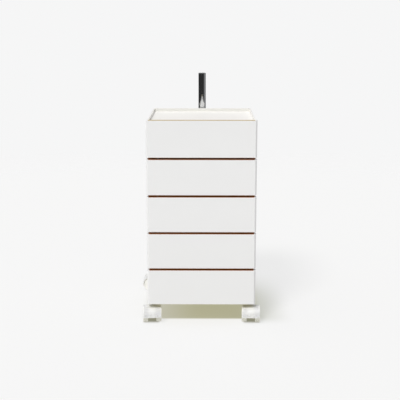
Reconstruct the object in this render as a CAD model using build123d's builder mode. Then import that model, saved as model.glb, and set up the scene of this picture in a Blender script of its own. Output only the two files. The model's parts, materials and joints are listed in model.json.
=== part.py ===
"""Mobile drawer unit: a white cabinet with five drawers on telescopic slides, an accessory post
behind it and four hooded twin-wheel castors.

Millimetres, +Z up. The drawer fronts face -Y and +X is the right-hand side.
The origin is on the floor, below the middle of the cabinet.
"""

import os

from build123d import *

os.makedirs("parts", exist_ok=True)

# Drawer fronts
DRAWERS = ("bottom", "fourth", "third", "second", "top")  # from the floor up
FRONT_WIDTH = 340.0
FRONT_HEIGHT = 112.0
FRONT_THICKNESS = 19.0
FRONT_GAP = 5.0
FRONT_BEVEL = 5.0  # along the upright edges
FRONT_EASE = 0.8  # sanded top and bottom edges
TOP_FRONT_RISE = 3.0  # the top front stands this much over the rim

# Cabinet panels
UNIT_DEPTH = 390.0  # drawer faces to the back of the cabinet
FRONT_CLEARANCE = 2.0  # between a closed front and the cabinet's front edges
SIDE_OVERHANG = 3.0  # the fronts stand this proud of each side, an edge for the fingers
SIDE_THICKNESS = 16.0
BOTTOM_THICKNESS = 16.0
TOP_THICKNESS = 10.0
BACK_THICKNESS = 10.0
RIM_THICKNESS = 4.0  # what the rebate leaves of a side panel round the sunk top
RIM_HEIGHT = 10.0
TOP_PLAY = 0.3  # between the sunk top and the rim
PANEL_EASE = 0.8

# Dowels and wood screws
DOWEL_DIAMETER = 6.0
DOWEL_LENGTH = 24.0
DOWEL_SPACING = 100.0
DOWELS_PER_JOINT = 3
HOLE_PLAY = 0.05  # radial room round dowels and screws
HOLE_SPARE = 0.3  # extra depth of a blind hole
BACK_SCREW_DIAMETER = 4.0
BACK_SCREW_HEAD = 8.0
BACK_SCREW_LENGTH = 32.0
BACK_SCREW_INSET = 31.0  # from the side panels
BACK_SCREWS_PER_ROW = 3
SCREW_SOCKET = 2.4  # across the corners of the hexagon drive
SCREW_SOCKET_DEPTH = 1.2

# Telescopic slides: rail, middle member and drawer member, nested channels of folded steel
SLIDE_SPACE = 12.7  # cabinet side to drawer box
SLIDE_HEIGHT = 45.0
SLIDE_WALL = 1.2
SLIDE_PLAY = 0.4  # between nested flanges
SLIDE_SETBACK = 2.0  # behind the cabinet's front edges
SLIDE_REAR_ROOM = 7.0  # in front of the back panel
RAIL_REACH = 9.0  # flange tips, from the cabinet side
MIDDLE_SETBACK = 3.2  # web of the middle member, from the cabinet side
MIDDLE_REACH = 10.7
DRAWER_MEMBER_REACH = 7.5  # flange tips, from the drawer box
SLIDE_SCREW_DIAMETER = 3.5
SLIDE_SCREW_HEAD = 7.0
SLIDE_SCREW_HEAD_HEIGHT = 1.6
SLIDE_SCREW_INSET = 40.0  # from each end of a member
RAIL_SCREW_GRIP = 12.0  # in the side panel

# Drawer boxes: four glued boards round a bottom that is let into grooves
BOX_FOOT_ROOM = 4.0  # lowest box above the bottom panel
BOX_HEAD_ROOM = 4.0  # highest box below the sunk top
BOX_BOARD = 12.0
BOX_BOTTOM = 5.0
BOX_BOTTOM_RISE = 8.0  # above the boards' lower edges
GROOVE_DEPTH = 5.0
GROOVE_PLAY = 0.15
GLUE_LINE = 0.1  # between glued boards
BOX_REAR_ROOM = 2.0  # in front of the slides' rear ends
MEMBER_SCREW_GRIP = 10.0  # in the box's side
FRONT_SCREW_DIAMETER = 4.0
FRONT_SCREW_HEAD = 8.0
FRONT_SCREW_HEAD_HEIGHT = 2.2
FRONT_SCREW_GRIP = 13.0  # in the front
FRONT_SCREW_INSET = 12.0  # from the box's bottom and from its upper edge
FRONT_SCREW_SIDE_INSET = 26.0  # from the box's sides

# Castors
WHEEL_DIAMETER = 50.0
WHEEL_WIDTH = 16.0
WHEEL_SPACING = 26.0  # between the two wheels of a castor
WHEEL_EDGE = 2.0
HUB_DIAMETER = 16.0
DISH_DIAMETER = 41.0
DISH_DEPTH = 1.5
HUB_WALL = 2.5  # closes the hub over the axle's end
AXLE_DIAMETER = 6.0
RUNNING_FIT = 0.05
AXLE_END_PLAY = 0.5
CASTOR_TRAIL = 21.0  # axle behind the swivel
HOOD_GAP = 1.5  # over the wheels
HOOD_WALL = 2.5
HOOD_EDGE = 0.8
HOOD_LIP_ANGLE = 190.0  # lower edge on the trailing side, from the swivel side over the top
HOOD_REAR_ANGLE = 35.0
CHEEK_GAP = 1.0  # between the hood's middle web and each wheel
CHEEK_RADIUS = 12.0
BOSS_DIAMETER = 24.0
BOSS_RISE = 6.2  # over the hood's top
STEM_DIAMETER = 8.0
STEM_IN_HOOD = 24.0
STEM_IN_PANEL = 30.0
STEM_WALL = 6.0  # of the hood round the stem
STEM_FLOOR = 3.0
COLLAR_DIAMETER = 14.0
COLLAR_HEIGHT = 2.0
SWIVEL_GAP = 0.3
SOCKET_DIAMETER = 10.0
SOCKET_LENGTH = 32.0
SOCKET_FLANGE = 15.0
SOCKET_FLANGE_HEIGHT = 1.5
STEM_INSET = 24.0  # from the front and rear edges of the side panels
FRONT_LEFT_ANGLE = 4.0  # how each castor stands, from trailing towards the front
FRONT_RIGHT_ANGLE = -3.0
REAR_LEFT_ANGLE = -88.0
REAR_RIGHT_ANGLE = -165.0

# Accessory post
POST_DIAMETER = 25.0
POST_WALL = 1.5
POST_RISE = 119.0  # above the rim
POST_DROP = 100.0  # below the rim
POST_STANDOFF = 20.0  # clear of the back panel
CAP_HEIGHT = 2.0
CAP_INSET = 0.3
CAP_PLUG = 10.0
PLUG_PLAY = 0.05
SPIGOT_LENGTH = 60.0
BRACKET_WIDTH = 60.0
BRACKET_PLATE = 5.0
BRACKET_ABOVE = 24.0  # plate above the shelf
BRACKET_BELOW = 66.0  # plate below the shelf's top
BRACKET_CORNER = 6.0
SHELF_THICKNESS = 8.0
SHELF_RIM = 4.0  # shelf round the post's foot
GUSSET_THICKNESS = 8.0
GUSSET_FOOT = 8.0  # plate below the gusset
BRACKET_SCREW_DIAMETER = 5.0
BRACKET_SCREW_HEAD = 10.0
BRACKET_SCREW_HEAD_HEIGHT = 3.0
BRACKET_SCREW_GRIP = 8.0  # in the back panel
BRACKET_SCREW_SPACING = 42.0
BRACKET_SCREW_INSET = 10.0  # from the plate's upper and lower ends

# Heights worked out from the sizes above
wheel_radius = WHEEL_DIAMETER / 2
hood_top = WHEEL_DIAMETER + HOOD_GAP + HOOD_WALL
boss_top = hood_top + BOSS_RISE
collar_z = boss_top + SWIVEL_GAP
flange_z = collar_z + COLLAR_HEIGHT
base_z = flange_z + SOCKET_FLANGE_HEIGHT  # underside of the cabinet
pitch = FRONT_HEIGHT + FRONT_GAP
top_z = base_z + len(DRAWERS) * pitch - FRONT_GAP  # top of the rim
ledge_z = top_z - RIM_HEIGHT - TOP_THICKNESS
cabinet_height = top_z - base_z
box_rise = BOTTOM_THICKNESS + BOX_FOOT_ROOM  # above the front's lower edge
box_height = FRONT_HEIGHT - box_rise - BOX_HEAD_ROOM - TOP_THICKNESS - RIM_HEIGHT
slide_rise = box_rise + box_height / 2

# Places across and along the cabinet
cabinet_width = FRONT_WIDTH - 2 * SIDE_OVERHANG
outer_x = cabinet_width / 2
inner_x = outer_x - SIDE_THICKNESS
back_y = UNIT_DEPTH / 2
front_y = -back_y
front_rear_y = front_y + FRONT_THICKNESS
cabinet_front_y = front_rear_y + FRONT_CLEARANCE
cabinet_depth = back_y - cabinet_front_y
inside_back_y = back_y - BACK_THICKNESS
shelf_depth = inside_back_y - cabinet_front_y
slide_front_y = cabinet_front_y + SLIDE_SETBACK
slide_length = inside_back_y - SLIDE_REAR_ROOM - slide_front_y
box_depth = slide_front_y + slide_length - BOX_REAR_ROOM - front_rear_y
box_x = inner_x - SLIDE_SPACE
stem_x = outer_x - SIDE_THICKNESS / 2
stem_ys = (cabinet_front_y + STEM_INSET, back_y - STEM_INSET)
floors = [base_z + level * pitch for level in range(len(DRAWERS))]  # lower edge of each front

BOTTOM_UP = (Align.CENTER, Align.CENTER, Align.MIN)
FRONT_BACK = (Align.CENTER, Align.MIN, Align.MIN)


def save(part, name):
    """Labels one finished piece and writes it under its own name."""
    part.label = name
    export_step(part, f"parts/{name}.step")


def facing(point, direction):
    """The place at a point whose +Z runs along a direction."""
    return Plane(origin=point, z_dir=direction).location


def spread(count, spacing):
    """Evenly spaced places about zero."""
    return [(index - (count - 1) / 2) * spacing for index in range(count)]


def pan_screw(diameter, head, head_height, length):
    """Screw with a low round head: its seat is at z = 0, the head above it and the shank below."""
    with BuildPart() as screw:
        Cylinder(head / 2, head_height, align=BOTTOM_UP)
        fillet(screw.edges().sort_by(Axis.Z)[-1], head_height / 3)
        with BuildSketch(Plane.XY.offset(head_height)):
            RegularPolygon(SCREW_SOCKET / 2, 6)
        extrude(amount=-SCREW_SOCKET_DEPTH, mode=Mode.SUBTRACT)
        with Locations((0, 0, -length)):
            Cylinder(diameter / 2, length, align=BOTTOM_UP)
    return screw.part


def flush_screw(diameter, head, length):
    """Countersunk screw: the head's face is at z = 0 and the whole screw lies below it."""
    head_depth = (head - diameter) / 2
    with BuildPart() as screw:
        with Locations((0, 0, -head_depth)):
            Cone(diameter / 2, head / 2, head_depth, align=BOTTOM_UP)
        with BuildSketch():
            RegularPolygon(SCREW_SOCKET / 2, 6)
        extrude(amount=-SCREW_SOCKET_DEPTH, mode=Mode.SUBTRACT)
        with Locations((0, 0, -length)):
            Cylinder(diameter / 2, length - head_depth, align=BOTTOM_UP)
    return screw.part


# Places of the fasteners, each with +Z along the way that the piece goes in or out
dowel_ys = spread(DOWELS_PER_JOINT, DOWEL_SPACING)
dowel_middle_y = (cabinet_front_y + inside_back_y) / 2
back_dowel_zs = [base_z + cabinet_height / 2 + rise for rise in spread(DOWELS_PER_JOINT, DOWEL_SPACING)]
bottom_mid_z = base_z + BOTTOM_THICKNESS / 2
top_mid_z = ledge_z + TOP_THICKNESS / 2
back_mid_y = back_y - BACK_THICKNESS / 2


def dowel_points(side):
    """Centres of the dowels between one side panel and the bottom and back panels."""
    bottom_row = [(side * inner_x, dowel_middle_y + y, bottom_mid_z) for y in dowel_ys]
    back_row = [(side * inner_x, back_mid_y, z) for z in back_dowel_zs]
    return bottom_row + back_row


def dowel_holes():
    """Takes the room of every dowel out of the panel being built."""
    for side in (-1, 1):
        with Locations(*[facing(point, (1, 0, 0)) for point in dowel_points(side)]):
            Cylinder(DOWEL_DIAMETER / 2 + HOLE_PLAY, DOWEL_LENGTH + 2 * HOLE_SPARE, mode=Mode.SUBTRACT)


back_screw_seats = [
    facing((x, back_y, z), (0, 1, 0))
    for z in (bottom_mid_z, top_mid_z)
    for x in spread(BACK_SCREWS_PER_ROW, 2 * (inner_x - BACK_SCREW_INSET) / (BACK_SCREWS_PER_ROW - 1))
]


def back_screw_holes():
    """Takes the room of the back screws, heads included, out of the panel being built."""
    head_radius = BACK_SCREW_HEAD / 2 + HOLE_PLAY
    hole_radius = BACK_SCREW_DIAMETER / 2 + HOLE_PLAY
    with Locations(*back_screw_seats):
        Cone(
            hole_radius,
            head_radius,
            head_radius - hole_radius,
            align=(Align.CENTER, Align.CENTER, Align.MAX),
            mode=Mode.SUBTRACT,
        )
        Cylinder(
            hole_radius,
            BACK_SCREW_LENGTH + HOLE_SPARE,
            align=(Align.CENTER, Align.CENTER, Align.MAX),
            mode=Mode.SUBTRACT,
        )


def slide_screw_points(side, x):
    """Places of the slide screws on one side, at a distance x from the middle of the cabinet."""
    ends = (slide_front_y + SLIDE_SCREW_INSET, slide_front_y + slide_length - SLIDE_SCREW_INSET)
    return [(side * x, y, floor + slide_rise) for floor in floors for y in ends]


# Side panels: a rebate along the top edge takes the sunk top, holes below take the castor sockets
for side, name in ((-1, "left"), (1, "right")):
    with BuildPart() as side_panel:
        with Locations((side * (outer_x - SIDE_THICKNESS / 2), cabinet_front_y, base_z)):
            Box(SIDE_THICKNESS, cabinet_depth, cabinet_height, align=FRONT_BACK)
        outer_face = side_panel.faces().sort_by(Axis.X)[-1 if side > 0 else 0]
        fillet(outer_face.edges(), PANEL_EASE)
        rebate = SIDE_THICKNESS - RIM_THICKNESS
        with Locations((side * (inner_x + rebate / 2), cabinet_front_y, ledge_z)):
            Box(rebate, shelf_depth, top_z - ledge_z, align=FRONT_BACK, mode=Mode.SUBTRACT)
        with Locations(*[(side * stem_x, y, base_z) for y in stem_ys]):
            Cylinder(
                SOCKET_DIAMETER / 2 + HOLE_PLAY,
                SOCKET_LENGTH + HOLE_SPARE,
                align=BOTTOM_UP,
                mode=Mode.SUBTRACT,
            )
        dowel_holes()
        with Locations(*[facing(point, (side, 0, 0)) for point in slide_screw_points(side, inner_x)]):
            Cylinder(
                SLIDE_SCREW_DIAMETER / 2 + HOLE_PLAY,
                RAIL_SCREW_GRIP + HOLE_SPARE,
                align=BOTTOM_UP,
                mode=Mode.SUBTRACT,
            )
    save(side_panel.part, f"cabinet_side_{name}")

# Bottom panel between the sides
with BuildPart() as bottom_panel:
    with Locations((0, cabinet_front_y, base_z)):
        Box(2 * inner_x, shelf_depth, BOTTOM_THICKNESS, align=FRONT_BACK)
    dowel_holes()
    back_screw_holes()
save(bottom_panel.part, "cabinet_bottom")

# Sunk top panel on the rebates of the sides
top_width = 2 * (outer_x - RIM_THICKNESS - TOP_PLAY)
with BuildPart() as top_panel:
    with Locations((0, cabinet_front_y, ledge_z)):
        Box(top_width, shelf_depth, TOP_THICKNESS, align=FRONT_BACK)
    back_screw_holes()
save(top_panel.part, "cabinet_top")

# Post bracket places, which the back panel's holes share
post_y = back_y + POST_STANDOFF + POST_DIAMETER / 2
foot_z = top_z - POST_DROP
bracket_low_z = foot_z - BRACKET_BELOW
bracket_height = BRACKET_BELOW + BRACKET_ABOVE
bracket_high_z = bracket_low_z + bracket_height
bracket_screw_zs = (bracket_low_z + BRACKET_SCREW_INSET, bracket_high_z - BRACKET_SCREW_INSET)
bracket_screw_xs = spread(2, BRACKET_SCREW_SPACING)
bracket_screw_seats = [
    facing((x, back_y + BRACKET_PLATE, z), (0, 1, 0)) for x in bracket_screw_xs for z in bracket_screw_zs
]
bracket_screw_length = BRACKET_PLATE + BRACKET_SCREW_GRIP


def bracket_screw_holes():
    """Takes the room of the bracket screws' shanks out of the piece being built."""
    with Locations(*bracket_screw_seats):
        Cylinder(
            BRACKET_SCREW_DIAMETER / 2 + HOLE_PLAY,
            bracket_screw_length + HOLE_SPARE,
            align=(Align.CENTER, Align.CENTER, Align.MAX),
            mode=Mode.SUBTRACT,
        )


# Back panel between the sides, up to the rim
with BuildPart() as back_panel:
    with Locations((0, inside_back_y, base_z)):
        Box(2 * inner_x, BACK_THICKNESS, cabinet_height, align=FRONT_BACK)
    dowel_holes()
    back_screw_holes()
    bracket_screw_holes()
save(back_panel.part, "cabinet_back")

with BuildPart() as dowels:
    for side in (-1, 1):
        with Locations(*[facing(point, (1, 0, 0)) for point in dowel_points(side)]):
            Cylinder(DOWEL_DIAMETER / 2, DOWEL_LENGTH)
save(dowels.part, "cabinet_dowels")

back_screw = flush_screw(BACK_SCREW_DIAMETER, BACK_SCREW_HEAD, BACK_SCREW_LENGTH)
with BuildPart() as back_screws:
    with Locations(*back_screw_seats):
        add(back_screw)
save(back_screws.part, "back_screws")

# Accessory post: bracket with a spigot, tube over the spigot, cap on the tube
post_radius = POST_DIAMETER / 2
bore_radius = post_radius - POST_WALL
shelf_radius = post_radius + SHELF_RIM
with BuildPart() as bracket:
    with Locations((0, back_y, bracket_low_z)):
        Box(BRACKET_WIDTH, BRACKET_PLATE, bracket_height, align=FRONT_BACK)
    fillet(bracket.edges().filter_by(Axis.Y), BRACKET_CORNER)
    with BuildSketch(Plane.XY.offset(foot_z - SHELF_THICKNESS)):
        with Locations((0, post_y)):
            Circle(shelf_radius)
        with Locations((0, (back_y + post_y) / 2)):
            Rectangle(2 * shelf_radius, post_y - back_y)
    extrude(amount=SHELF_THICKNESS)
    with BuildSketch(Plane.YZ):
        shelf_low_z = foot_z - SHELF_THICKNESS
        Polygon(
            (back_y, shelf_low_z),
            (back_y, bracket_low_z + GUSSET_FOOT),
            (back_y + BRACKET_PLATE, bracket_low_z + GUSSET_FOOT),
            (post_y + post_radius, shelf_low_z),
            align=None,
        )
    extrude(amount=GUSSET_THICKNESS / 2, both=True)
    with Locations((0, post_y, foot_z)):
        Cylinder(bore_radius - PLUG_PLAY, SPIGOT_LENGTH, align=BOTTOM_UP)
    bracket_screw_holes()
save(bracket.part, "post_bracket")

tube_length = POST_DROP + POST_RISE - CAP_HEIGHT
with BuildPart() as tube:
    with Locations((0, post_y, foot_z)):
        Cylinder(post_radius, tube_length, align=BOTTOM_UP)
        Cylinder(bore_radius, tube_length, align=BOTTOM_UP, mode=Mode.SUBTRACT)
save(tube.part, "post_tube")

tube_top_z = foot_z + tube_length
with BuildPart() as cap:
    with Locations((0, post_y, tube_top_z)):
        Cylinder(post_radius - CAP_INSET, CAP_HEIGHT, align=BOTTOM_UP)
    fillet(cap.edges().sort_by(Axis.Z)[-1], CAP_HEIGHT / 3)
    with Locations((0, post_y, tube_top_z - CAP_PLUG)):
        Cylinder(bore_radius - PLUG_PLAY, CAP_PLUG, align=BOTTOM_UP)
save(cap.part, "post_cap")

bracket_screw = pan_screw(
    BRACKET_SCREW_DIAMETER, BRACKET_SCREW_HEAD, BRACKET_SCREW_HEAD_HEIGHT, bracket_screw_length
)
with BuildPart() as bracket_screws:
    with Locations(*bracket_screw_seats):
        add(bracket_screw)
save(bracket_screws.part, "bracket_screws")


def channel(web_x, tip_x, mid_z, height):
    """C section in the sketch being built: a web at web_x and two flanges that reach to tip_x."""
    inward = 1 if tip_x > web_x else -1
    with Locations(((web_x + tip_x) / 2, mid_z)):
        Rectangle(abs(tip_x - web_x), height)
    with Locations(((web_x + tip_x + inward * SLIDE_WALL) / 2, mid_z)):
        Rectangle(abs(tip_x - web_x) - SLIDE_WALL, height - 2 * SLIDE_WALL, mode=Mode.SUBTRACT)


slide_plane = Plane.XZ.offset(-slide_front_y)
nesting = 2 * (SLIDE_WALL + SLIDE_PLAY)
middle_height = SLIDE_HEIGHT - nesting
drawer_member_height = middle_height - nesting


def slide_screw_holes(points, direction):
    """Takes the shanks' room of slide screws out of the members being built."""
    with Locations(*[facing(point, direction) for point in points]):
        Cylinder(SLIDE_SCREW_DIAMETER / 2 + HOLE_PLAY, 2 * SLIDE_WALL + HOLE_SPARE, mode=Mode.SUBTRACT)


# Cabinet rails, five on each side panel
for side, name in ((-1, "left"), (1, "right")):
    with BuildPart() as rails:
        with BuildSketch(slide_plane):
            for floor in floors:
                channel(side * inner_x, side * (inner_x - RAIL_REACH), floor + slide_rise, SLIDE_HEIGHT)
        extrude(amount=-slide_length)
        slide_screw_holes(slide_screw_points(side, inner_x), (side, 0, 0))
    save(rails.part, f"slide_rails_{name}")

rail_screw = pan_screw(
    SLIDE_SCREW_DIAMETER, SLIDE_SCREW_HEAD, SLIDE_SCREW_HEAD_HEIGHT, SLIDE_WALL + RAIL_SCREW_GRIP
)
with BuildPart() as rail_screws:
    for side in (-1, 1):
        seats = slide_screw_points(side, inner_x - SLIDE_WALL)
        with Locations(*[facing(point, (-side, 0, 0)) for point in seats]):
            add(rail_screw)
save(rail_screws.part, "rail_screws")

# Drawers: middle slide members, front, box, drawer slide members and screws
front_screw_length = BOX_BOARD + FRONT_SCREW_GRIP
front_screw = pan_screw(
    FRONT_SCREW_DIAMETER, FRONT_SCREW_HEAD, FRONT_SCREW_HEAD_HEIGHT, front_screw_length
)
member_screw = pan_screw(
    SLIDE_SCREW_DIAMETER, SLIDE_SCREW_HEAD, SLIDE_SCREW_HEAD_HEIGHT, SLIDE_WALL + MEMBER_SCREW_GRIP
)
box_inner_x = box_x - BOX_BOARD
box_rear_y = front_rear_y + box_depth
box_middle_y = (front_rear_y + box_rear_y) / 2
tray_width = 2 * (box_inner_x + GROOVE_DEPTH)
tray_depth = box_depth - 2 * (BOX_BOARD - GROOVE_DEPTH)
front_screw_rises = (
    BOX_BOTTOM_RISE + BOX_BOTTOM + FRONT_SCREW_INSET,
    box_height - FRONT_SCREW_INSET,
)


def front_screw_holes(seats):
    """Takes the shanks' room of one drawer's front screws out of the piece being built."""
    with Locations(*seats):
        Cylinder(
            FRONT_SCREW_DIAMETER / 2 + HOLE_PLAY,
            front_screw_length + HOLE_SPARE,
            align=(Align.CENTER, Align.CENTER, Align.MAX),
            mode=Mode.SUBTRACT,
        )


for level, name in enumerate(DRAWERS):
    floor = floors[level]
    front_height = FRONT_HEIGHT + (TOP_FRONT_RISE if name == DRAWERS[-1] else 0)
    slide_mid_z = floor + slide_rise
    box_z = floor + box_rise
    tray_z = box_z + BOX_BOTTOM_RISE

    with BuildPart() as middle_members:
        with BuildSketch(slide_plane):
            for side in (-1, 1):
                web_x = side * (inner_x - MIDDLE_SETBACK)
                channel(web_x, side * (inner_x - MIDDLE_REACH), slide_mid_z, middle_height)
        extrude(amount=-slide_length)
    save(middle_members.part, f"{name}_slide_middle_members")

    front_seats = [
        facing((x, front_rear_y + BOX_BOARD, box_z + rise), (0, 1, 0))
        for x in spread(2, 2 * (box_inner_x - FRONT_SCREW_SIDE_INSET))
        for rise in front_screw_rises
    ]
    member_points = {
        side: [
            (side * box_x, y, slide_mid_z)
            for y in (slide_front_y + SLIDE_SCREW_INSET, slide_front_y + slide_length - SLIDE_SCREW_INSET)
        ]
        for side in (-1, 1)
    }

    with BuildPart() as front:
        with Locations((0, front_y, floor)):
            Box(FRONT_WIDTH, FRONT_THICKNESS, front_height, align=FRONT_BACK)
        chamfer(front.edges().filter_by(Axis.Z).group_by(Axis.Y)[0], FRONT_BEVEL)
        flat_ends = front.faces().sort_by(Axis.Z)
        fillet(flat_ends[0].edges() + flat_ends[-1].edges(), FRONT_EASE)
        front_screw_holes(front_seats)
    save(front.part, f"{name}_drawer_front")

    with BuildPart() as box:
        with Locations(*[(side * (box_x - BOX_BOARD / 2), front_rear_y, box_z) for side in (-1, 1)]):
            Box(BOX_BOARD, box_depth, box_height, align=FRONT_BACK)
        with Locations((0, front_rear_y, box_z), (0, box_rear_y - BOX_BOARD, box_z)):
            Box(2 * (box_inner_x - GLUE_LINE), BOX_BOARD, box_height, align=FRONT_BACK)
        with Locations((0, box_middle_y, tray_z - GROOVE_PLAY)):
            Box(
                tray_width + 2 * GROOVE_PLAY,
                tray_depth + 2 * GROOVE_PLAY,
                BOX_BOTTOM + 2 * GROOVE_PLAY,
                align=BOTTOM_UP,
                mode=Mode.SUBTRACT,
            )
        with Locations((0, box_middle_y, tray_z)):
            Box(tray_width, tray_depth, BOX_BOTTOM, align=BOTTOM_UP)
        front_screw_holes(front_seats)
        for side in (-1, 1):
            with Locations(*[facing(point, (-side, 0, 0)) for point in member_points[side]]):
                Cylinder(
                    SLIDE_SCREW_DIAMETER / 2 + HOLE_PLAY,
                    MEMBER_SCREW_GRIP + HOLE_SPARE,
                    align=BOTTOM_UP,
                    mode=Mode.SUBTRACT,
                )
    save(box.part, f"{name}_drawer_box")

    with BuildPart() as drawer_members:
        with BuildSketch(slide_plane):
            for side in (-1, 1):
                tip_x = side * (box_x + DRAWER_MEMBER_REACH)
                channel(side * box_x, tip_x, slide_mid_z, drawer_member_height)
        extrude(amount=-slide_length)
        for side in (-1, 1):
            slide_screw_holes(member_points[side], (side, 0, 0))
    save(drawer_members.part, f"{name}_drawer_slide_members")

    with BuildPart() as drawer_screws:
        with Locations(*front_seats):
            add(front_screw)
        for side in (-1, 1):
            heads = [(x + side * SLIDE_WALL, y, z) for x, y, z in member_points[side]]
            with Locations(*[facing(point, (side, 0, 0)) for point in heads]):
                add(member_screw)
    save(drawer_screws.part, f"{name}_drawer_screws")

# Castor sockets and stems, in the lower edges of the side panels
stem_places = [(x, y) for x in (-stem_x, stem_x) for y in stem_ys]
stem_radius = STEM_DIAMETER / 2
stem_low_z = boss_top - STEM_IN_HOOD
with BuildPart() as sockets:
    with Locations(*[(x, y, flange_z) for x, y in stem_places]):
        Cylinder(SOCKET_FLANGE / 2, SOCKET_FLANGE_HEIGHT, align=BOTTOM_UP)
        Cylinder(SOCKET_DIAMETER / 2, SOCKET_FLANGE_HEIGHT + SOCKET_LENGTH, align=BOTTOM_UP)
        Cylinder(
            stem_radius + HOLE_PLAY,
            SOCKET_FLANGE_HEIGHT + SOCKET_LENGTH,
            align=BOTTOM_UP,
            mode=Mode.SUBTRACT,
        )
save(sockets.part, "castor_sockets")

with BuildPart() as stems:
    with Locations(*[(x, y, stem_low_z) for x, y in stem_places]):
        Cylinder(stem_radius, base_z + STEM_IN_PANEL - stem_low_z, align=BOTTOM_UP)
    with Locations(*[(x, y, collar_z) for x, y in stem_places]):
        Cylinder(COLLAR_DIAMETER / 2, COLLAR_HEIGHT, align=BOTTOM_UP)
save(stems.part, "castor_stems")

# One castor with its stem at the origin, trailing towards the front
hub_point = (0, -CASTOR_TRAIL, wheel_radius)
hub_axis = Axis(hub_point, (1, 0, 0))
hub_place = Plane(origin=hub_point, x_dir=(0, 1, 0), z_dir=(1, 0, 0))
hood_outer = wheel_radius + HOOD_GAP + HOOD_WALL
hood_width = WHEEL_SPACING + 2 * WHEEL_WIDTH
cheek_width = WHEEL_SPACING - 2 * CHEEK_GAP
hood_sweep = HOOD_LIP_ANGLE - HOOD_REAR_ANGLE
column_low_z = stem_low_z - STEM_FLOOR
column_reach = stem_radius + STEM_WALL
with BuildPart() as hood:
    rear_edge = Plane(hub_place.location * Rotation(0, 0, HOOD_REAR_ANGLE))
    with BuildSketch(Plane(origin=hub_point, x_dir=rear_edge.z_dir, z_dir=rear_edge.y_dir)):
        with Locations((0, hood_outer - HOOD_WALL / 2)):
            RectangleRounded(hood_width, HOOD_WALL, HOOD_EDGE)
    revolve(axis=hub_axis, revolution_arc=hood_sweep)
    with BuildSketch(hub_place):
        with BuildLine():
            web_arc = CenterArc((0, 0), hood_outer - HOOD_EDGE, HOOD_REAR_ANGLE, hood_sweep)
            Line((0, 0), web_arc @ 0)
            Line(web_arc @ 1, (0, 0))
        make_face()
        Circle(CHEEK_RADIUS)
    extrude(amount=cheek_width / 2, both=True)
    with Locations((0, -CASTOR_TRAIL, column_low_z)):
        Box(cheek_width, CASTOR_TRAIL + column_reach, WHEEL_DIAMETER - column_low_z, align=FRONT_BACK)
    with Locations((0, 0, WHEEL_DIAMETER)):
        Cylinder(BOSS_DIAMETER / 2, boss_top - WHEEL_DIAMETER, align=BOTTOM_UP)
    with Locations((0, 0, stem_low_z - SWIVEL_GAP)):
        Cylinder(
            stem_radius + RUNNING_FIT,
            boss_top - stem_low_z + SWIVEL_GAP,
            align=BOTTOM_UP,
            mode=Mode.SUBTRACT,
        )
    with Locations(facing(hub_point, (1, 0, 0))):
        Cylinder(AXLE_DIAMETER / 2 + HOLE_PLAY, hood_width, mode=Mode.SUBTRACT)

axle_length = hood_width - 2 * (HUB_WALL + AXLE_END_PLAY)
with BuildPart() as axle:
    with Locations(facing(hub_point, (1, 0, 0))):
        Cylinder(AXLE_DIAMETER / 2, axle_length)

# Wheel on the +X end of the axle, turned from a profile of distance along it and radius
wheel_inner = WHEEL_SPACING / 2
wheel_outer = wheel_inner + WHEEL_WIDTH
with BuildPart() as wheel:
    with BuildSketch(Plane(origin=hub_point, x_dir=(1, 0, 0), z_dir=(0, -1, 0))) as wheel_profile:
        with Locations((wheel_inner, 0)):
            Rectangle(WHEEL_WIDTH, wheel_radius, align=(Align.MIN, Align.MIN))
        fillet(wheel_profile.vertices().group_by(Axis.Y)[-1], WHEEL_EDGE)
        with Locations((wheel_outer - DISH_DEPTH, HUB_DIAMETER / 2)):
            Rectangle(
                DISH_DEPTH,
                (DISH_DIAMETER - HUB_DIAMETER) / 2,
                align=(Align.MIN, Align.MIN),
                mode=Mode.SUBTRACT,
            )
        with Locations((wheel_inner, 0)):
            Rectangle(
                WHEEL_WIDTH - HUB_WALL,
                AXLE_DIAMETER / 2 + RUNNING_FIT,
                align=(Align.MIN, Align.MIN),
                mode=Mode.SUBTRACT,
            )
    revolve(axis=hub_axis)

# The four castors as they stand
castors = {
    "front_left": (-stem_x, stem_ys[0], FRONT_LEFT_ANGLE),
    "front_right": (stem_x, stem_ys[0], FRONT_RIGHT_ANGLE),
    "rear_left": (-stem_x, stem_ys[1], REAR_LEFT_ANGLE),
    "rear_right": (stem_x, stem_ys[1], REAR_RIGHT_ANGLE),
}
for name, (x, y, turn) in castors.items():
    stand = Location((x, y, 0), (0, 0, turn))

    with BuildPart() as castor_hood:
        with Locations(stand):
            add(hood.part)
    save(castor_hood.part, f"{name}_castor_hood")

    with BuildPart() as castor_axle:
        with Locations(stand):
            add(axle.part)
    save(castor_axle.part, f"{name}_castor_axle")

    with BuildPart() as right_wheel:
        with Locations(stand):
            add(wheel.part)
    save(right_wheel.part, f"{name}_castor_right_wheel")

    with BuildPart() as left_wheel:
        with Locations(stand):
            add(mirror(wheel.part, about=Plane.YZ, mode=Mode.PRIVATE))
    save(left_wheel.part, f"{name}_castor_left_wheel")
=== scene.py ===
# %% [markdown]
# # Dressing a white drawer unit
# The solid model of the unit is already packed: panels, drawers, slides, castors and post, each with its
# place and its joint. This lesson adds what the solids lack: the camera, the studio and the finishes. The
# solids themselves stay as they are, so nothing here can drift away from the parts that move.

# %% Load the packed model
import json
import math

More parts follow.
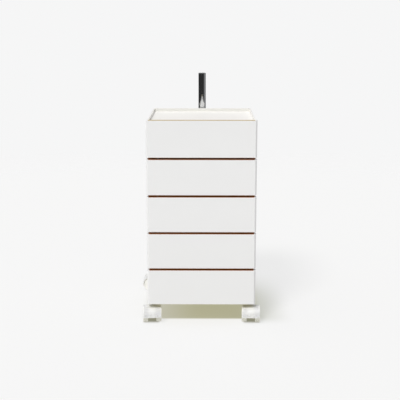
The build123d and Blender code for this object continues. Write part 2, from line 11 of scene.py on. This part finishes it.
import bpy
import numpy as np
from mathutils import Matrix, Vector


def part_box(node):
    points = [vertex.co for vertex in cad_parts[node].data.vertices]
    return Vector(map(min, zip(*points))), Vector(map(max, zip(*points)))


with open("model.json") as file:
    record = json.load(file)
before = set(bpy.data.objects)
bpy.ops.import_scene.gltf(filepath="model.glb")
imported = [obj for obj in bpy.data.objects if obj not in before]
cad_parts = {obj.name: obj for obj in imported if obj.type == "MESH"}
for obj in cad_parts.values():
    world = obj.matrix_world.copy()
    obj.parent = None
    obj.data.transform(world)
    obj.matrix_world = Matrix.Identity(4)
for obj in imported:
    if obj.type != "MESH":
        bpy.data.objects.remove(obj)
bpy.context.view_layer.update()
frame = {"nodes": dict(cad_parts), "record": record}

# %% [markdown]
# ## Camera
# The unit is seen almost square on, from a little above its top. A long lens keeps the upright edges nearly
# parallel. The place and the lens follow from the corners of the drawer fronts: their width at the top and at
# the bottom gives the tilt, and the foreshortened top gives the height.

# %% Camera
camera = bpy.data.objects.new("studio_camera", bpy.data.cameras.new("studio_camera"))
camera.data.sensor_width = 36.0
camera.data.lens = 80.73
camera.location = (0.0130, -2.9043, 0.9657)
camera.rotation_euler = (math.radians(90.0 - 11.769), 0.0, math.radians(0.371))
bpy.context.scene.collection.objects.link(camera)
bpy.context.scene.camera = camera
bpy.context.scene.view_settings.view_transform = "Standard"
print("lens:", camera.data.lens, "mm")

# %% [markdown]
# ## Node expressions
# A finish is a small program, and wiring its nodes one by one hides what it works out. The class below wraps
# one output socket, so `1 - edge * 0.4` in Python adds the Math nodes for that sum. Every other kind of node
# comes from one method, which takes the node's type, its settings and what goes into its sockets.


# %% Sockets that can be added and multiplied
def pick(sockets, key):
    """The socket at an index, or the first one in use that has the name."""
    if isinstance(key, int):
        return sockets[key]
    return next(socket for socket in sockets if socket.name == key and socket.enabled)


class Wire:
    """One output socket of a node tree. Arithmetic on wires adds Math nodes to that tree."""

    def __init__(self, socket):
        self.socket = socket

    def node(self, kind, settings, inputs, output=0):
        """Adds one node: its settings are set first, then its sockets take values or wires."""
        tree = self.socket.id_data
        made = tree.nodes.new(kind)
        for name, value in settings.items():
            setattr(made, name, value)
        for key, value in inputs.items():
            socket = pick(made.inputs, key)
            if isinstance(value, Wire):
                tree.links.new(value.socket, socket)
            else:
                socket.default_value = value
        return Wire(pick(made.outputs, output))

    def also(self, output):
        """Another output of the node that this wire leaves."""
        return Wire(pick(self.socket.node.outputs, output))

    def math(self, operation, *others):
        """A Math node with this wire as its first value."""
        return self.node("ShaderNodeMath", {"operation": operation}, dict(enumerate((self, *others))))

    def __add__(self, other):
        return self.math("ADD", other)

    def __sub__(self, other):
        return self.math("SUBTRACT", other)

    def __mul__(self, other):
        return self.math("MULTIPLY", other)

    def __rsub__(self, other):
        return self.math("MULTIPLY", -1.0) + other

    def __abs__(self):
        return self.math("ABSOLUTE")

    __radd__ = __add__
    __rmul__ = __mul__


print("operators ready:", [name for name in vars(Wire) if name.startswith("__") and name != "__init__"])


# %% [markdown]
# ## Patterns
# Real surfaces change by place: a step finds an edge, a cloud gives uneven wear, and a cloud drawn out along
# one axis gives grain or rolling lines. All of them are worked out from the place on the piece in metres and
# not read from pictures, so they stay sharp in a close view and move with the piece.


# %% Steps, clouds and mixes
def step(value, low, high):
    """Smooth rise from 0 where value is at or under low to 1 where it is at or over high."""
    limits = {"Value": value, "From Min": low, "From Max": high}
    return value.node("ShaderNodeMapRange", {"interpolation_type": "SMOOTHSTEP"}, limits, "Result")


def within(value, low, high, soft):
    """1 where value lies between low and high, falling to 0 over the soft width outside them."""
    return step(value, low - soft, low) * (1.0 - step(value, high, high + soft))


def cloud(place, size, detail=3.0):
    """Cloudy values about 0.5, with lumps of about that size in metres."""
    return place.node("ShaderNodeTexNoise", {}, {"Vector": place, "Scale": 1.0 / size, "Detail": detail}, 0)


def drawn_out(place, lengths):
    """The same place with each axis shrunk by a length in metres, so a pattern is as long as that there."""
    return place.node("ShaderNodeMapping", {}, {"Vector": place, "Scale": [1.0 / v for v in lengths]})


def grey(value):
    """A neutral colour."""
    return (value, value, value, 1.0)


def blend(factor, first, second):
    """The first colour where factor is 0, the second where it is 1."""
    inputs = {"Factor": factor, "A": first, "B": second}
    return factor.node("ShaderNodeMix", {"data_type": "RGBA"}, inputs, "Result")


def relief(height, depth):
    """A bump of that depth in metres for heights from 0 to 1."""
    return height.node("ShaderNodeBump", {}, {"Height": height, "Distance": depth, "Strength": 1.0}, "Normal")


def parts_of(vector):
    """The x, y and z of a vector."""
    x = vector.node("ShaderNodeSeparateXYZ", {}, {"Vector": vector}, "X")
    return x, x.also("Y"), x.also("Z")


patterns = (step, within, cloud, drawn_out, blend, relief)
print("patterns ready:", [pattern.__name__ for pattern in patterns])

# %% [markdown]
# ## Materials
# Each finish starts from one shader. What stays the same over the whole piece is set on its sockets, and only
# what varies is linked to it, so the node tree shows what the surface really does.


# %% A material and what varies on it
def finish(name, constants):
    """A new material with its constant sockets set, and a wire for the place on a piece."""
    material = bpy.data.materials.new(name)
    material.use_nodes = True
    shader = material.node_tree.nodes["Principled BSDF"]
    for socket, value in constants.items():
        shader.inputs[socket].default_value = value
    return material, Wire(shader.outputs["BSDF"]).node("ShaderNodeTexCoord", {}, {}, "Object")


def wear(material, varying):
    """Links what varies over the surface to the material's shader."""
    tree = material.node_tree
    for socket, wire in varying.items():
        tree.links.new(wire.socket, tree.nodes["Principled BSDF"].inputs[socket])
    print(material.name, "has", len(tree.nodes), "nodes")
    return material


print("materials so far:", len(bpy.data.materials))

# %% [markdown]
# ## Studio floor
# The unit stands on a pale sweep of paper with no horizon. A flat disc of rings does for the floor: point
# (r, a) lies at (r cos a, r sin a, 0). A plane would do as well, but a disc can fade out evenly all round.

# %% Floor disc
RINGS = 24
SPOKES = 96
FLOOR_RADIUS = 3.6

radii = np.linspace(0.02, FLOOR_RADIUS, RINGS)
turns = np.linspace(0.0, 2.0 * np.pi, SPOKES, endpoint=False)
ring, spoke = np.meshgrid(radii, turns, indexing="ij")
points = np.stack([ring * np.cos(spoke), ring * np.sin(spoke), np.zeros_like(ring)], axis=-1).reshape(-1, 3)
at = np.arange(RINGS * SPOKES).reshape(RINGS, SPOKES)
after = np.roll(at, -1, axis=1)
quads = np.stack([at[:-1], at[1:], after[1:], after[:-1]], axis=-1).reshape(-1, 4)
floor_mesh = bpy.data.meshes.new("studio_floor")
floor_mesh.from_pydata(points.tolist(), [], quads.tolist() + [at[0].tolist()])
floor = bpy.data.objects.new("studio_floor", floor_mesh)
bpy.context.scene.collection.objects.link(floor)
print("floor faces:", len(floor_mesh.polygons))

# %% [markdown]
# ## Paper on a light table
# Product pictures are often taken on a lit table, where the paper glows by itself and shadows are faint. An
# emission colour does the same here. Beneath the unit the glow is painted weaker and yellower as its shadow,
# a little paler on the left, and painted dull about the front wheels as their shadow. This painted shadow
# ends in a sharp line at the front, and a soft painted shade lies along the right side, away from the lamp.
# The rim of the paper fades out, so the polished post mirrors the dark room beyond it and not an endless
# white floor.

# %% Floor paper
FADE_START = 2.2
# Painted shadow under the unit: a weaker, yellower glow, a little paler on the left.
PAINTED_SHADOW_X = 0.150
PAINTED_SHADOW_Y = (-0.138, 0.150)
# Painted shade about the front wheels.
PAINTED_WHEEL_SHADE_X = (0.140, 0.180)
PAINTED_WHEEL_SHADE_Y = (-0.166, -0.136)
# Painted shade along the right side of the unit, away from the lamp.
SHADE_X = (0.120, 0.165, 0.310)
SHADE_Y = (-0.210, -0.120, 0.000, 0.400)
OPEN_GLOW = grey(0.703)
SHADE_GLOW = (0.470, 0.478, 0.435, 1.0)
PAINTED_SHADOW_LEFT = (0.432, 0.422, 0.345, 1.0)
PAINTED_SHADOW_RIGHT = (0.360, 0.350, 0.240, 1.0)
PAINTED_WHEEL_SHADE_GLOW = (0.210, 0.205, 0.145, 1.0)

looks = {"Roughness": 0.9, "Specular IOR Level": 0.1, "Emission Strength": 1.0}
paper, place = finish("studio_paper", looks)
x, y, z = parts_of(place)
# Painted shadow: the glow is dimmed beneath the unit, with a sharp line at its front.
front_line = step(y, PAINTED_SHADOW_Y[0] - 0.016, PAINTED_SHADOW_Y[0])
back_fade = 1.0 - step(y, PAINTED_SHADOW_Y[1], PAINTED_SHADOW_Y[1] + 0.08)
painted_shadow = front_line * back_fade * (1.0 - step(abs(x), PAINTED_SHADOW_X, PAINTED_SHADOW_X + 0.05))
# Painted shade: the glow is dulled about the front wheels.
painted_wheel_shade = within(abs(x), *PAINTED_WHEEL_SHADE_X, 0.01) * within(y, *PAINTED_WHEEL_SHADE_Y, 0.03)
# Painted shade: the glow is dimmed in a soft strip along the right side.
shade_across = step(x, *SHADE_X[:2]) * (1.0 - step(x, *SHADE_X[1:]))
shade_along = step(y, *SHADE_Y[:2]) * (1.0 - step(y, *SHADE_Y[2:]))
open_glow = blend(shade_across * shade_along, OPEN_GLOW, SHADE_GLOW)
painted_shadow_glow = blend(step(x, -0.15, 0.0), PAINTED_SHADOW_LEFT, PAINTED_SHADOW_RIGHT)
fibre = cloud(place, 0.012, 4.0)
reach = place.node("ShaderNodeVectorMath", {"operation": "LENGTH"}, {0: place}, "Value")
wear(paper, {
    "Base Color": blend(fibre, grey(0.195), grey(0.205)),
    "Emission Color": blend(painted_wheel_shade, blend(painted_shadow, open_glow, painted_shadow_glow), PAINTED_WHEEL_SHADE_GLOW),
    "Alpha": 1.0 - step(reach, FADE_START, FLOOR_RADIUS),
})
floor_mesh.materials.append(paper)

# %% [markdown]
# ## Studio light
# Two things light the unit: a wide soft sky, brightest overhead, and one large lamp in front, up and to the
# left. The right half of the sky is dim, so the bevels on the right of the fronts fall into shade while
# those on the left stay bright. Polished metal shows its surroundings, and low down the room is dark, which
# is what gives the post its black bands. The camera itself sees plain pale paper behind.

# %% Light
PAPER_WHITE = (0.921, 0.922, 0.923, 1.0)
world = bpy.data.worlds.new("studio_room")
bpy.context.scene.world = world
world.use_nodes = True
background = world.node_tree.nodes["Background"]
direction = Wire(background.outputs["Background"]).node("ShaderNodeTexCoord", {}, {}, "Generated")
east, _, up = parts_of(direction)
sides = blend(step(east, -0.1, 0.8), grey(0.50), grey(0.08))
sky = blend(step(up, 0.30, 0.95), sides, grey(0.80))
matte = blend(step(up, -0.02, 0.02), PAPER_WHITE, sky)
dark_room = blend(step(east, 0.80, 1.06), grey(0.035), grey(0.36))
mirrored = blend(step(up, 0.08, 0.30), dark_room, grey(0.80))
seen = direction.node("ShaderNodeLightPath", {}, {}, "Is Camera Ray")
room = blend(seen, blend(seen.also("Is Glossy Ray"), matte, mirrored), PAPER_WHITE)
world.node_tree.links.new(room.socket, background.inputs["Color"])

lamp = bpy.data.objects.new("studio_lamp", bpy.data.lights.new("studio_lamp", "SUN"))
lamp.data.energy = 1.90
lamp.data.angle = math.radians(16.0)
lamp.data.color = (1.0, 0.99, 0.97)
lamp.rotation_euler = (math.radians(40.0), 0.0, math.radians(-26.0))
bpy.context.scene.collection.objects.link(lamp)
print("lamp:", lamp.data.energy, "world nodes:", len(world.node_tree.nodes))

# %% [markdown]
# ## Bare board
# The boards have a white face, but where they are sawn they show the wood beneath. Grain is noise drawn out
# along the board, with short dark pores in it. The edges that face each other across the narrow gaps between
# the drawers are painted a deep brown as the shade in those gaps, and the top edge of the top front is
# painted a paler tan as the same wood in light. Underneath a clear seal has yellowed. Bare wood hardly
# shines, so it has a shader of its own, and a mask chooses between it and the white coat.


# %% Wood tone
def sawn(place, along, dark, pale):
    """Grain between two colours, with fibres of these lengths along x, y and z."""
    fibres = cloud(drawn_out(place, along), 1.0, 5.0)
    pores = step(cloud(drawn_out(place, [v * 0.22 for v in along]), 1.0, 2.0), 0.60, 0.72)
    return blend(pores * 0.4, blend(fibres, dark, pale), dark), fibres


def bared(material, bare, wood, bump):
    """Shows dull bare wood in place of the material's own shader where bare is 1."""
    tree = material.node_tree
    coated = Wire(tree.nodes["Principled BSDF"].outputs["BSDF"])
    looks = {"Base Color": wood, "Roughness": 0.9, "Specular IOR Level": 0.0, "Normal": bump}
    dull = wood.node("ShaderNodeBsdfPrincipled", {}, looks)
    shown = bare.node("ShaderNodeMixShader", {}, {0: bare, 1: coated, 2: dull})
    tree.links.new(shown.socket, tree.nodes["Material Output"].inputs["Surface"])


GRAIN_X = (0.060, 0.0014, 0.0014)
GRAIN_Y = (0.0014, 0.060, 0.0014)
# Painted shade: the deep brown stands for the shade in the gaps between the drawers.
DARK_WOOD_GAP_SHADE = (0.26, 0.098, 0.036, 1.0), (0.46, 0.190, 0.072, 1.0)
# Painted light: the same wood, paler, for the lit top edge of the top front.
LIT_TOP_EDGE_WOOD = (0.42, 0.33, 0.17, 1.0), (0.57, 0.47, 0.27, 1.0)
SEALED = (0.66, 0.61, 0.38, 1.0), (0.78, 0.73, 0.48, 1.0)
print("grain runs", GRAIN_X[0] * 1000, "mm by", GRAIN_X[1] * 1000, "mm")

# %% [markdown]
# ## Drawer fronts
# Each front is a board with a smooth white laminate on its face and thick white ends with a bevel. Laminate
# is never quite even: it has a fine pearl texture from its press plate and faint clouds where hands have
# wiped it, and it is painted a trace greyer towards the floor as shade. The top and bottom edges are bare
# between the
# white ends, and a thin line of glue and wood shows on the face beside them. All five fronts share one
# finish:
# the normal finds the edges, and the height, taken modulo the spacing of the drawers, finds the lines beside
# them.

# %% Where the fronts are bare
BARE_HALF_LENGTH = 0.1630
LOWEST_Z = 0.064
PITCH = 0.117
HALF_FRONT = 0.056
GLUE_LINE = 0.0011
RIM_Z = 0.640

looks = {"IOR": 1.48, "Coat Weight": 0.25, "Coat Roughness": 0.3}
laminate, place = finish("front_laminate", looks)
facing = parts_of(place.also("Normal"))
x, y, z = parts_of(place)
from_middle = abs((z - LOWEST_Z).math("FLOORED_MODULO", PITCH) - HALF_FRONT)
beside_gap = step(z, LOWEST_Z + 0.002, LOWEST_Z + 0.003) * (1.0 - step(z, RIM_Z - 0.001, RIM_Z))
glue = step(from_middle, HALF_FRONT - GLUE_LINE - 0.0001, HALF_FRONT - GLUE_LINE) * beside_gap
sawn_edge = step(abs(facing[2]), 0.30, 0.60)
between_ends = 1.0 - step(abs(x), BARE_HALF_LENGTH, BARE_HALF_LENGTH + 0.0008)
bare = (sawn_edge + glue).math("MINIMUM", 1.0) * between_ends
print("bare length of a front:", BARE_HALF_LENGTH * 2000, "mm")

# %% White laminate with bare top and bottom edges
dark_wood_gap_shade, fibres = sawn(place, GRAIN_X, *DARK_WOOD_GAP_SHADE)
lit_top_edge_wood, fibres = sawn(place, GRAIN_X, *LIT_TOP_EDGE_WOOD)
sealed, fibres = sawn(place, GRAIN_X, *SEALED)
# Painted light and shade: the gap edges take the dark shaded wood, the top edge the paler lit wood.
wood = blend(step(z, RIM_Z, RIM_Z + 0.001), dark_wood_gap_shade, lit_top_edge_wood)
wood = blend(step(z, LOWEST_Z + 0.001, LOWEST_Z + 0.002), sealed, wood)
pearl = cloud(place, 0.0011, 2.0)
wiped = cloud(place, 0.09, 4.0)
# Painted shade: darker towards the floor, mixed with the wiped clouds.
wipe_and_low_shade = step(z, 0.05, 0.60) * 0.7 + wiped * 0.3
front_board = wear(laminate, {
    "Base Color": blend(wipe_and_low_shade, (0.762, 0.762, 0.758, 1.0), (0.806, 0.808, 0.808, 1.0)),
    "Roughness": 0.34 + wiped * 0.14,
    "Normal": relief(pearl, 0.00004),
})
bared(laminate, bare, wood, relief(fibres, 0.00008))

# %% [markdown]
# ## Cabinet panels
# The carcase is lacquered outside and on its sunk top, with the slight orange peel that a spray gun leaves.
# The tray on top and the inner walls of its rim are painted whiter than the uprights, as painted light.
# Inside the carcase is bare, and so are the front edges behind the drawers and the underside; the bare wood
# inside and on the front edges is a deep brown painted as the shade in the gaps. The finish knows these
# places by the way a face looks and by its height, so one material does for all the panels.

# %% Where the cabinet is bare
UNDER_Z = 0.067
INSIDE_Z = 0.629

lacquer, place = finish("cabinet_lacquer", {"IOR": 1.5})
facing = parts_of(place.also("Normal"))
x, y, z = parts_of(place)
inward = 1.0 - step(x * facing[0], -0.10, -0.05)
forward = 1.0 - step(facing[1], -0.75, -0.45)
downward = 1.0 - step(facing[2], -0.75, -0.45)
upward = step(facing[2], 0.45, 0.75)
inside = (inward + forward + downward + upward * (1.0 - step(z, 0.10, 0.12))).math("MINIMUM", 1.0)
above = step(z, INSIDE_Z - 0.003, INSIDE_Z)
bare = inside * (1.0 - above)
# Painted light: the sunk top and the inner walls of its rim take a whiter copy of the lacquer.
painted_lit_faces = (upward + inward * above).math("MINIMUM", 1.0)
print("bare below", INSIDE_Z * 1000, "mm, sealed below", UNDER_Z * 1000, "mm")

# %% White lacquer outside, bare board inside
dark_wood_gap_shade, fibres = sawn(place, GRAIN_Y, *DARK_WOOD_GAP_SHADE)
sealed, fibres = sawn(place, GRAIN_Y, *SEALED)
peel = cloud(place, 0.0028, 1.0)
wiped = cloud(place, 0.12, 4.0)
panel_white = blend(wiped, (0.755, 0.752, 0.715, 1.0), (0.770, 0.767, 0.730, 1.0))
painted_lit_white = blend(wiped, (0.925, 0.910, 0.885, 1.0), (0.940, 0.925, 0.900, 1.0))
cabinet_board = wear(lacquer, {
    "Base Color": blend(painted_lit_faces, panel_white, painted_lit_white),
    "Roughness": 0.30 + wiped * 0.14,
    "Normal": relief(peel, 0.00008),
})
# Painted shade: the dark wood inside and on the front edges stands for the shade in the gaps.
wood = blend(step(z, UNDER_Z - 0.001, UNDER_Z), sealed, dark_wood_gap_shade)
bared(lacquer, bare, wood, relief(fibres, 0.00008))

# %% [markdown]
# ## Drawer boxes
# The boxes are plain boards of the same wood as the inside of the carcase, sealed but not painted. Handling
# leaves them a little paler and smoother in patches, which a slow cloud mixes in.

# %% Box boards
boards, place = finish("drawer_boards", {"IOR": 1.48})
dark_wood_gap_shade, fibres = sawn(place, GRAIN_Y, *DARK_WOOD_GAP_SHADE)
handled = step(cloud(place, 0.06, 4.0), 0.45, 0.75)
drawer_board = wear(boards, {
    "Base Color": blend(handled * 0.5, dark_wood_gap_shade, (0.36, 0.20, 0.095, 1.0)),
    "Roughness": 0.56 - handled * 0.16,
    "Normal": relief(fibres, 0.00008),
})

# %% [markdown]
# ## Slides and screws
# The slides are rolled from zinc-plated strip, so their fine lines run the way the drawers run. The screws
# are tumbled while they are plated, which leaves them dull and faintly pitted.

# %% Zinc plate
rolled, place = finish("slide_zinc", {"Metallic": 1.0})
lines = cloud(drawn_out(place, (0.0006, 0.09, 0.0006)), 1.0, 3.0)
spangle = cloud(place, 0.006, 2.0)
slide_steel = wear(rolled, {
    "Base Color": blend(spangle, (0.50, 0.51, 0.53, 1.0), (0.64, 0.65, 0.665, 1.0)),
    "Roughness": 0.26 + lines * 0.22,
    "Normal": relief(lines, 0.00002),
})

tumbled, place = finish("screw_zinc", {"Metallic": 1.0})
pits = cloud(place, 0.0007, 3.0)
screw_steel = wear(tumbled, {
    "Base Color": blend(pits, (0.40, 0.405, 0.41, 1.0), (0.60, 0.605, 0.61, 1.0)),
    "Roughness": 0.32 + pits * 0.22,
    "Normal": relief(pits, 0.00004),
})

# %% [markdown]
# ## Post, bracket and dowels
# The post is polished chrome: a nearly clean mirror whose look comes from the room around it. Fine wipe marks
# run along it. The bracket that holds it is a satin casting, and the dowels are beech.

# %% Chrome
polished, place = finish("post_chrome_plate", {"Metallic": 1.0})
marks = cloud(drawn_out(place, (0.0009, 0.0009, 0.05)), 1.0, 3.0)
prints = step(cloud(place, 0.018, 3.0), 0.55, 0.75)
post_chrome = wear(polished, {
    "Base Color": blend(prints * 0.5, (0.70, 0.71, 0.725, 1.0), (0.62, 0.63, 0.64, 1.0)),
    "Roughness": 0.05 + marks * 0.03 + prints * 0.05,
    "Normal": relief(marks, 0.000003),
})

# %% Casting and beech
cast, place = finish("bracket_casting", {"Metallic": 1.0})
sand = cloud(place, 0.0012, 4.0)
flow = cloud(place, 0.02, 2.0)
bracket_metal = wear(cast, {
    "Base Color": blend(flow, (0.56, 0.565, 0.57, 1.0), (0.68, 0.685, 0.69, 1.0)),
    "Roughness": 0.38 + sand * 0.2,
    "Normal": relief(sand, 0.0001),
})

beech, place = finish("dowel_beech", {})
flecks = cloud(drawn_out(place, (0.012, 0.0008, 0.0008)), 1.0, 3.0)
dowel_wood = wear(beech, {
    "Base Color": blend(flecks, (0.50, 0.30, 0.15, 1.0), (0.66, 0.45, 0.26, 1.0)),
    "Roughness": 0.5 + flecks * 0.2,
    "Normal": relief(flecks, 0.0001),
})

# %% [markdown]
# ## Castors
# Hoods and wheels are moulded. The hoods are milky white, so light that falls on their front wanders a few
# millimetres inside them, which subsurface scattering gives. Their light spark-eroded texture goes dull where
# feet scuff them low down, and the web between the wheels, below the hood's lip, is painted a dark olive as
# shade. The wheels have white faces and a pale grey tread that picks up dirt. A ring pattern needs to know
# its wheel, so each castor gets its own wheel finish, centred on its axle with a Mapping node.

# %% Hoods
MILKY = {"Subsurface Weight": 0.8, "Subsurface Radius": (1.0, 1.0, 0.95), "Subsurface Scale": 0.010}
gloss, place = finish("castor_hood_plastic", {"IOR": 1.49, **MILKY})
spark = cloud(place, 0.0006, 2.0)
height = parts_of(place)[2]
scuffed = (1.0 - step(height, 0.022, 0.046)) * step(cloud(place, 0.006, 4.0), 0.42, 0.66)
# Painted shade: the web between the wheels, below the hood's lip, is dark olive.
painted_web_shade = 1.0 - step(height, 0.0185, 0.0205)
white = blend(scuffed, (0.770, 0.773, 0.765, 1.0), (0.67, 0.665, 0.64, 1.0))
castor_plastic = wear(gloss, {
    "Base Color": blend(painted_web_shade, white, (0.46, 0.44, 0.33, 1.0)),
    "Roughness": 0.38 + spark * 0.08 + scuffed * 0.25,
    "Normal": relief(spark, 0.00003),
})

# %% Sockets and axles
nylon, place = finish("socket_nylon", {"IOR": 1.5})
spark = cloud(place, 0.0008, 2.0)
socket_plastic = wear(nylon, {
    "Base Color": blend(spark, (0.52, 0.52, 0.51, 1.0), (0.58, 0.58, 0.57, 1.0)),
    "Roughness": 0.4 + spark * 0.15,
    "Normal": relief(spark, 0.00003),
})

turned, place = finish("turned_steel", {"Metallic": 1.0})
rings = cloud(drawn_out(place, (0.0005, 0.0005, 0.0003)), 1.0, 2.0)
axle_steel = wear(turned, {
    "Base Color": blend(rings, (0.30, 0.305, 0.31, 1.0), (0.46, 0.465, 0.47, 1.0)),
    "Roughness": 0.25 + rings * 0.2,
    "Normal": relief(rings, 0.00002),
})


# %% Wheels
def wheel_finish(castor):
    """Wheel plastic for one castor: r is the distance from the axle's line, t the distance along it."""
    centre, left, right = (
        sum(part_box(f"{castor}_castor_{piece}"), start=Vector()) / 2
        for piece in ("axle", "left_wheel", "right_wheel")
    )
    turn = math.atan2(right.y - left.y, right.x - left.x)
    plastic, place = finish(f"{castor}_wheel_plastic", {"IOR": 1.47})
    centred = place.node(
        "ShaderNodeMapping", {"vector_type": "TEXTURE"},
        {"Vector": place, "Location": centre, "Rotation": (0.0, 0.0, turn)},
    )
    t, y, z = parts_of(centred)
    r = (y * y + z * z).math("SQRT")
    tread = step(r, 0.0232, 0.0246)
    rings = (r * 5200.0).math("SINE") * 0.5 + 0.5
    ribs = (t * 3600.0).math("SINE") * 0.5 + 0.5
    dirt = tread * step(cloud(place, 0.004, 4.0), 0.35, 0.65)
    worn = blend(dirt, (0.80, 0.79, 0.71, 1.0), (0.66, 0.65, 0.55, 1.0))
    return wear(plastic, {
        "Base Color": blend(tread, (0.92, 0.92, 0.91, 1.0), worn),
        "Roughness": 0.36 + dirt * 0.35 + rings * 0.05,
        "Normal": relief(rings * (1.0 - tread) * 0.3 + ribs * tread, 0.00006),
    })


CASTORS = ("front_left", "front_right", "rear_left", "rear_right")
wheel_finishes = {castor: wheel_finish(castor) for castor in CASTORS}

# %% [markdown]
# ## Finishes onto pieces
# Every piece of the record names the slot that its finish comes from, so one table of slots dresses the whole
# unit. Only the wheels choose by their castor.

# %% Put each finish on its pieces
SLOTS = {
    "front_board": front_board,
    "cabinet_board": cabinet_board,
    "drawer_board": drawer_board,
    "slide_steel": slide_steel,
    "screw_steel": screw_steel,
    "axle_steel": axle_steel,
    "post_chrome": post_chrome,
    "bracket_metal": bracket_metal,
    "dowel_wood": dowel_wood,
    "socket_plastic": socket_plastic,
    "castor_plastic": castor_plastic,
}
for subpart in frame["record"]["subparts"]:
    name, slot = subpart["node"], subpart["material_slot"]
    dress = SLOTS[slot] if slot in SLOTS else wheel_finishes[name.split("_castor_")[0]]
    piece = frame["nodes"][name]
    piece.data.materials.clear()
    piece.data.materials.append(dress)
